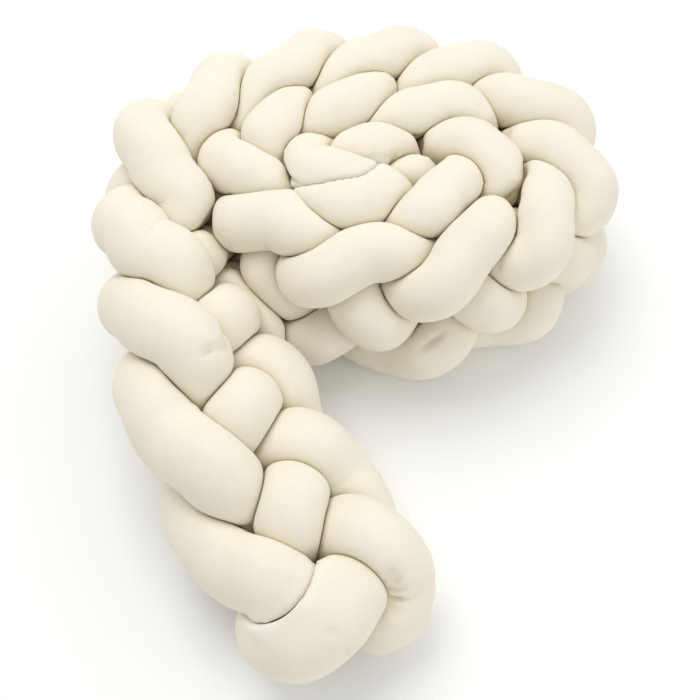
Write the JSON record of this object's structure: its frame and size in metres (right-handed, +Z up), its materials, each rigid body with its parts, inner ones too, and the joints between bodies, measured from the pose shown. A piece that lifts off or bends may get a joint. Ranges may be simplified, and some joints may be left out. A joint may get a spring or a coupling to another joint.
{
  "type": "braided crib bumper",
  "caption": "Padded crib bumper plaited from stuffed cloth tubes, one end lying flat and the rest standing on its edge in a loose double coil.",
  "frame": {"origin": "on the floor, under the middle of the whole braid's box", "axes": "+Z up, -Y towards the end that lies flat, +Y towards the far side of the coil"},
  "size_m": [0.589, 0.7676, 0.2245],
  "materials": {
    "cloth": "matt short-pile plush"
  },
  "bodies": {
    "root": {"strand_1": "cloth", "strand_2": "cloth", "strand_3": "cloth", "strand_4": "cloth"}
  },
  "joints": []
}
